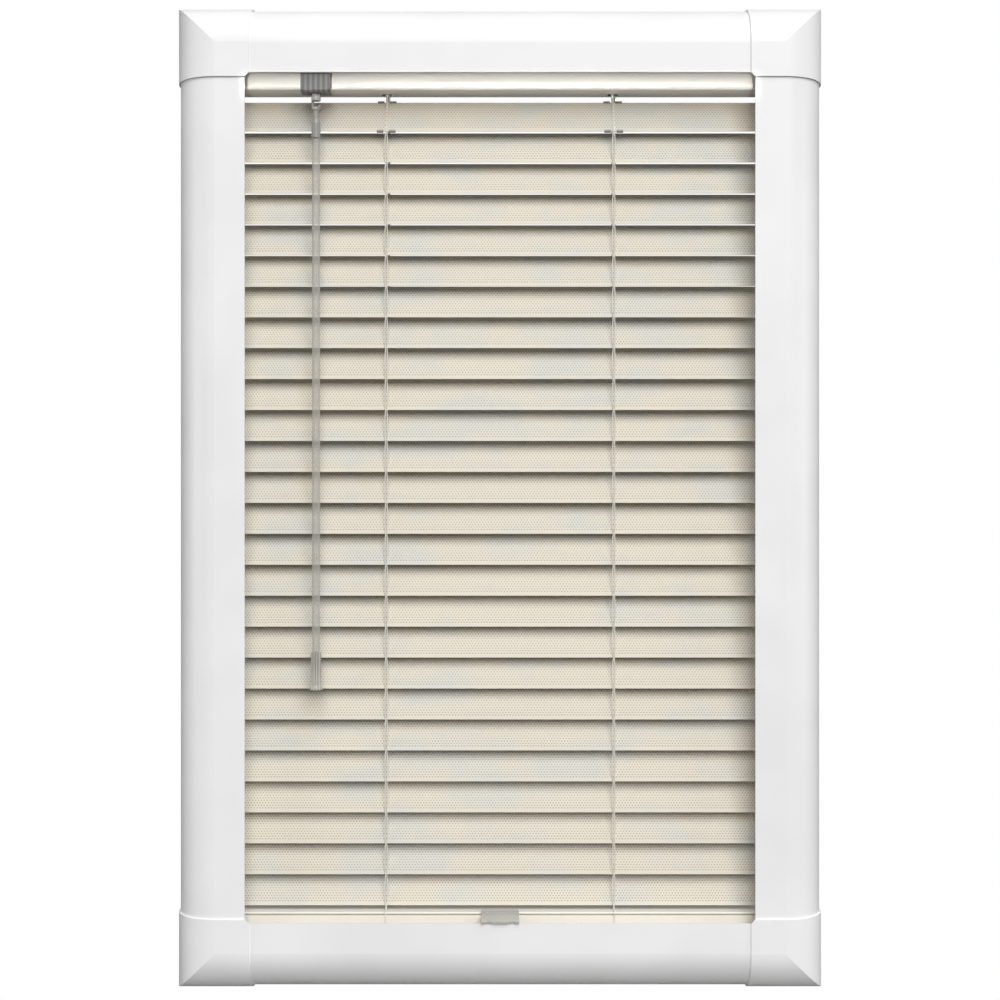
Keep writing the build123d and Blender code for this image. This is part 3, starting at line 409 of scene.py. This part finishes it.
grip_finish = clear(
    "clear_grip", light=rgb(0.66, 0.645, 0.58), dark=rgb(0.32, 0.315, 0.285),
    roughness=0.30, see_through=0.40, rim=0.95, rib_pitch=GRIP_RIB_PITCH,
)
cord_finish = braided("cord", light=rgb(0.82, 0.79, 0.71), dark=rgb(0.62, 0.59, 0.52))

slot_finish = {
    "frame_white": frame_finish,
    "rail_cream": rail_finish,
    "inner_plastic": inner_finish,
    "clip_steel": steel_finish,
    "shaft_steel": shaft_finish,
    "clear_grey": grey_finish,
    "clear_wand": wand_finish,
    "cord": cord_finish,
}
node_finish = {
    "top_slat_clips": clip_finish,
    "headrail": headrail_finish,
    "tilter_housing": hood_finish,
    "wand_handle": grip_finish,
    "pull_tab": tab_finish,
}
node_slot = {row["node"]: row["material_slot"] for row in frame["record"]["subparts"]}
for name, shown in frame["nodes"].items():
    of_slot = slot_finish.get(node_slot[name], rail_finish)
    shown.data.materials.clear()
    shown.data.materials.append(node_finish.get(name, of_slot))

# Slats
slat_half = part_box("slat_01")[1].x
crown_r = ((SLAT_WIDTH / 2) ** 2 + SLAT_CROWN**2) / (2 * SLAT_CROWN)
across_dir = Vector((0, math.cos(SLAT_TILT), math.sin(SLAT_TILT)))
crown_dir = Vector((0, -math.sin(SLAT_TILT), math.cos(SLAT_TILT)))
# The hole colour is a painted shade of the dark gap seen through the slat's holes.
slat_finish = perforated(
    "slat_cream", light=rgb(0.715, 0.665, 0.56), dark=rgb(0.69, 0.64, 0.54),
    cloudy=rgb(0.635, 0.63, 0.58), hole=rgb(0.38, 0.345, 0.285), roughness=0.62, half_length=slat_half,
)


def slat_axis(number):
    return joint_place[f"slat_{number:02d}_tilt"]


def crown_rise(across):
    """Height of the slat's middle plane over its chord."""
    return math.sqrt(crown_r**2 - across**2) - (crown_r - SLAT_CROWN)


def slat_lines():
    """Distances across the slat, and the slat's half length at each, with its rounded corners."""
    straight = SLAT_WIDTH / 2 - SLAT_CORNER
    lines = [(straight * (2 * i / SLAT_ROWS - 1), slat_half) for i in range(SLAT_ROWS + 1)]
    for i in range(1, CORNER_STEPS + 1):
        turn = math.radians(90 * i / CORNER_STEPS)
        across = straight + SLAT_CORNER * math.sin(turn)
        half = slat_half - SLAT_CORNER + SLAT_CORNER * math.cos(turn)
        lines.insert(0, (-across, half))
        lines.append((across, half))
    return lines


def slat_point(number, along, across, lift):
    """A point of a slat, lifted off its middle plane."""
    place = slat_axis(number) + across_dir * across + crown_dir * (crown_rise(across) + lift)
    return Vector((along, place.y, place.z))


def build_slat(number):
    """One crowned strip with rounded corners, a sharp rim and a UV in metres for its holes."""
    lines = slat_lines()
    points = []
    spots = []
    for lift in (SLAT_SKIN / 2, -SLAT_SKIN / 2):
        for across, half in lines:
            for along in (-half, half):
                points.append(slat_point(number, along, across, lift))
                spots.append((along, across))
    count = len(lines)
    top = [(2 * i, 2 * i + 1, 2 * i + 3, 2 * i + 2) for i in range(count - 1)]
    bottom = [tuple(2 * count + k for k in reversed(face)) for face in top]
    rim = [2 * i for i in range(count)] + [2 * i + 1 for i in reversed(range(count))]
    sides = []
    for here, there in zip(rim, rim[1:] + rim[:1]):
        sides.append((here, there, there + 2 * count, here + 2 * count))
    made = mesh_piece(f"slat_{number:02d}_strip", points, top + bottom + sides, slat_finish)
    made.data.set_sharp_from_angle(angle=SLAT_EDGE_ANGLE)
    layer = made.data.uv_layers.new(name="slat")
    for loop in made.data.loops:
        layer.data[loop.index].uv = spots[loop.vertex_index]
    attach(made, f"slat_{number:02d}")
    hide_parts(f"slat_{number:02d}")


for number in range(1, SLAT_COUNT + 1):
    build_slat(number)

# Ladder rungs: a thread under each slat, from its front string to its back string
string_low, string_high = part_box("ladder_front_strings")
back_low, back_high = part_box("ladder_back_strings")
ladder_x = string_high.x - CORD_R
front_y = (string_low.y + string_high.y) / 2
back_y = (back_low.y + back_high.y) / 2
for number in range(1, SLAT_COUNT + 1):
    routes = []
    for x in (-ladder_x, ladder_x):
        for off in (-RUNG_OFF, RUNG_OFF):
            route = []
            for i in range(RUNG_POINTS):
                across = SLAT_WIDTH / 2 * (2 * i / (RUNG_POINTS - 1) - 1)
                route.append(slat_point(number, x + off, across, -SLAT_SKIN / 2 - RUNG_CLEAR))
            routes.append(route)
    rungs = cord_piece(f"rungs_{number:02d}_threads", routes, RUNG_R)
    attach(rungs, f"slat_{number:02d}")
    if FIRST_RISING_SLAT <= number < SLAT_COUNT:
        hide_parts(f"ladder_rungs_{number:02d}")

# Ladder strings
edge_drop = SLAT_WIDTH / 2 * math.sin(SLAT_TILT)


def edge_z(number, side):
    """Height of a slat's front (side -1) or back (side 1) edge."""
    return slat_axis(number).z + side * edge_drop


def strand_routes(y, levels):
    """Two strands down each ladder that meet at every level and part between them."""
    routes = []
    for x in (-ladder_x, ladder_x):
        for hand in (-1, 1):
            route = []
            for upper, lower in zip(levels, levels[1:]):
                for share, off in ((0.0, STRAND_MEET), (PART_FROM, STRAND_PART), (PART_TO, STRAND_PART)):
                    route.append((x + hand * off, y, upper + (lower - upper) * share))
            route.append((x + hand * STRAND_MEET, y, levels[-1]))
            routes.append(route)
    return routes


def straight_routes(x_off, y, top, end):
    """An upright route at each ladder."""
    return [[(x + x_off, y, z) for z in (top, (top + end) / 2, end)] for x in (-ladder_x, ladder_x)]


last_still = FIRST_RISING_SLAT - 1
hole_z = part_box("headrail")[0].z
string_top = hole_z + STRING_TOP_IN_RAIL
rail_low, rail_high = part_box("bottom_rail")
for name, side, y, body, node in (
    ("front", -1, front_y, "ladder_fronts", "ladder_front_strings"),
    ("back", 1, back_y, "ladder_backs", "ladder_back_strings"),
):
    still_levels = [edge_z(n, side) for n in range(1, last_still + 1)]
    if side > 0:
        still_levels.insert(0, string_top)
    rising_levels = [edge_z(n, side) for n in range(last_still, SLAT_COUNT + 1)]
    upper = cord_piece(f"ladder_{name}_upper", strand_routes(y, still_levels), STRAND_R)
    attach(upper, body)
    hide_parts(node)
    lower = cord_piece(f"ladder_{name}_lower", strand_routes(y, rising_levels), STRAND_R)
    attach(lower, body)
    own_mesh(lower)

# Lift cords beside the back strings
lift_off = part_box("lift_cords")[1].x - CORD_R - ladder_x
lift_still = edge_z(last_still, 1)
lift_upper = cord_piece("lift_cords_upper", straight_routes(lift_off, back_y, string_top, lift_still), CORD_R)
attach(lift_upper, "ladder_backs")
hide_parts("lift_cords")
lift_end = edge_z(SLAT_COUNT, 1)
lift_lower = cord_piece("lift_cords_lower", straight_routes(lift_off, back_y, lift_still, lift_end), CORD_R)
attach(lift_lower, "ladder_backs")
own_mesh(lift_lower)

# Front leads: from the hole in the headrail over the top slat's crown
drum_low, drum_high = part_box("ladder_drums")
drum_z = (drum_low.z + drum_high.z) / 2
drum_y = (drum_low.y + drum_high.y) / 2
front_top = edge_z(1, -1)
over_crown = slat_point(1, 0, 0, SLAT_SKIN / 2 + CORD_R + LEAD_CLEAR)
routes = []
for x in (-ladder_x, ladder_x):
    for hand in (-STRAND_MEET, STRAND_MEET):
        routes.append([
            (x + hand, LEAD_HOLE_Y, hole_z),
            (x + hand, over_crown.y, over_crown.z),
            (x + hand, front_y, front_top),
        ])
front_leads = cord_piece("ladder_front_leads", routes, STRAND_R, per_span=10)
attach(front_leads, "frame")
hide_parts("headrail_cord_leads")
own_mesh(front_leads)

# Leads inside the headrail: from the drums and from the lift unit
unit_low, unit_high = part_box("lift_spring_unit")
lead_z = (unit_low.z + unit_high.z) / 2
drum_off = DRUM_R + CORD_R
routes = []
for x in (-ladder_x, ladder_x):
    hand = math.copysign(1, x)
    routes.append([
        (x, drum_y, drum_z - drum_off),
        (x, LEAD_HOLE_Y - LEAD_BEND, hole_z + LEAD_BEND),
        (x, LEAD_HOLE_Y, hole_z),
    ])
    routes.append([
        (x - STRAND_PART, drum_y + drum_off, drum_z),
        (x - STRAND_PART, drum_y + drum_off, drum_z - LEAD_BEND),
        (x - STRAND_PART, back_y - LEAD_GAP, drum_z - 2 * LEAD_BEND),
    ])
    routes.append([
        (hand * unit_high.x, back_y, lead_z),
        (x + lift_off - hand * 2 * LEAD_BEND, back_y, lead_z),
        (x + lift_off - hand * LEAD_GAP, back_y, lead_z),
    ])
inner_leads = cord_piece("headrail_inner_leads", routes, CORD_R)
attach(inner_leads, "frame")

# Tails: round the bottom rail to the plugs, and from the rail up to the last slat's edges
plug_low, plug_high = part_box("ladder_plugs")
plug_r = (plug_high.y - plug_low.y) / 2
rail_mid_y = (plug_high.y + plug_low.y) / 2
over_rail = rail_high.z + CORD_R
under_rail = rail_low.z - CORD_R
routes = []
for x in (-ladder_x, ladder_x):
    for side, y in ((-1, front_y), (1, back_y)):
        face_y = (rail_low.y if side < 0 else rail_high.y) + side * CORD_R
        routes.append([
            (x, y, over_rail),
            (x, face_y - side * TAIL_BEND, over_rail),
            (x, face_y, over_rail),
            (x, face_y, rail_high.z - TAIL_BEND),
            (x, face_y, rail_low.z + TAIL_BEND),
            (x, face_y, under_rail),
            (x, face_y - side * TAIL_BEND, under_rail),
            (x, rail_mid_y + side * plug_r, under_rail),
        ])
rail_tails = cord_piece("rail_tails", routes, CORD_R)
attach(rail_tails, "bottom_rail")
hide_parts("rail_cord_tails")

tail_top = edge_z(SLAT_COUNT, -1)
front_tails = cord_piece(
    "rail_front_tails", straight_routes(0, front_y, tail_top, rail_high.z), CORD_R, per_span=12
)
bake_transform(front_tails)

back_tail_top = edge_z(SLAT_COUNT, 1)
back_tails = cord_piece(
    "rail_back_tails",
    straight_routes(0, back_y, back_tail_top, rail_high.z)
    + straight_routes(lift_off, back_y, back_tail_top, rail_high.z),
    CORD_R,
)
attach(back_tails, "bottom_rail")
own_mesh(back_tails)

# Floor
floor_z = cad_box[0][2] - FLOOR_DROP
floor_finish = moulded(
    "floor_pale", light=rgb(0.88, 0.88, 0.87), dark=rgb(0.85, 0.85, 0.84),
    roughness=0.8, grain=40.0, grain_depth=0.0005,
)
floor = mesh_piece(
    "floor",
    [(-FLOOR_HALF, -FLOOR_HALF, floor_z), (FLOOR_HALF, -FLOOR_HALF, floor_z),
     (FLOOR_HALF, FLOOR_HALF, floor_z), (-FLOOR_HALF, FLOOR_HALF, floor_z)],
    [(0, 1, 2, 3)], floor_finish, smooth=False,
)

# Dome: white where the camera sees it, and a soft fill of light on the blind
world = bpy.data.worlds.new("studio")
bpy.context.scene.world = world
world.use_nodes = True
tree = world.node_tree
seen = tree.nodes["Background"]
seen.inputs["Color"].default_value = rgb(1, 1, 1)
lit = tree.nodes.new("ShaderNodeBackground")
ramp = tree.nodes.new("ShaderNodeMapRange")
split = tree.nodes.new("ShaderNodeSeparateXYZ")
coords = tree.nodes.new("ShaderNodeTexCoord")
rays = tree.nodes.new("ShaderNodeLightPath")
choice = tree.nodes.new("ShaderNodeMixShader")
tree.links.new(coords.outputs["Generated"], split.inputs[0])
tree.links.new(split.outputs["Z"], ramp.inputs["Value"])
for index, number in enumerate((*DOME_HEIGHTS, *DOME_STRENGTHS), start=1):
    ramp.inputs[index].default_value = number
tree.links.new(ramp.outputs[0], lit.inputs["Strength"])
tree.links.new(rays.outputs["Is Camera Ray"], choice.inputs[0])
tree.links.new(lit.outputs[0], choice.inputs[1])
tree.links.new(seen.outputs[0], choice.inputs[2])
tree.links.new(choice.outputs[0], tree.nodes["World Output"].inputs["Surface"])


def soft_light(name, place, aim, width, height, power, spread=180.0):
    """A rectangular light at a place, turned to its aim; its spread is in degrees."""
    data = bpy.data.lights.new(name, "AREA")
    data.shape = "RECTANGLE"
    data.size = width
    data.size_y = height
    data.energy = power
    data.spread = math.radians(spread)
    lamp = bpy.data.objects.new(name, data)
    bpy.context.scene.collection.objects.link(lamp)
    lamp.location = place
    lamp.rotation_euler = (Vector(aim) - Vector(place)).to_track_quat("-Z", "Y").to_euler()


# A large soft light above in front, weak ones at the sides, and a narrow strip for the headrail under the lip
middle = (0, -0.02, 0.33)
soft_light("key_front", place=(2.4, -10.8, 8.94), aim=middle, width=10.5, height=14.4, power=2360.0)
soft_light("side_left", place=(-2.1, -0.7, 0.5), aim=middle, width=1.0, height=1.0, power=10.0)
soft_light("side_right", place=(2.1, -0.7, 0.5), aim=middle, width=1.0, height=1.0, power=8.0)
soft_light(
    "strip_headrail", place=(0, -1.1, 0.36), aim=(0, -0.035, 0.6045),
    width=0.352, height=0.016, power=0.0125, spread=0.5,
)

view = bpy.data.cameras.new("camera")
view.lens = LENS_MM
view.sensor_width = SENSOR_MM
camera = bpy.data.objects.new("camera", view)
camera.location = (0, CAMERA_Y, CAMERA_Z)
camera.rotation_euler = (math.radians(90), 0, 0)
bpy.context.scene.collection.objects.link(camera)
bpy.context.scene.camera = camera
bpy.context.scene.view_settings.view_transform = "Standard"
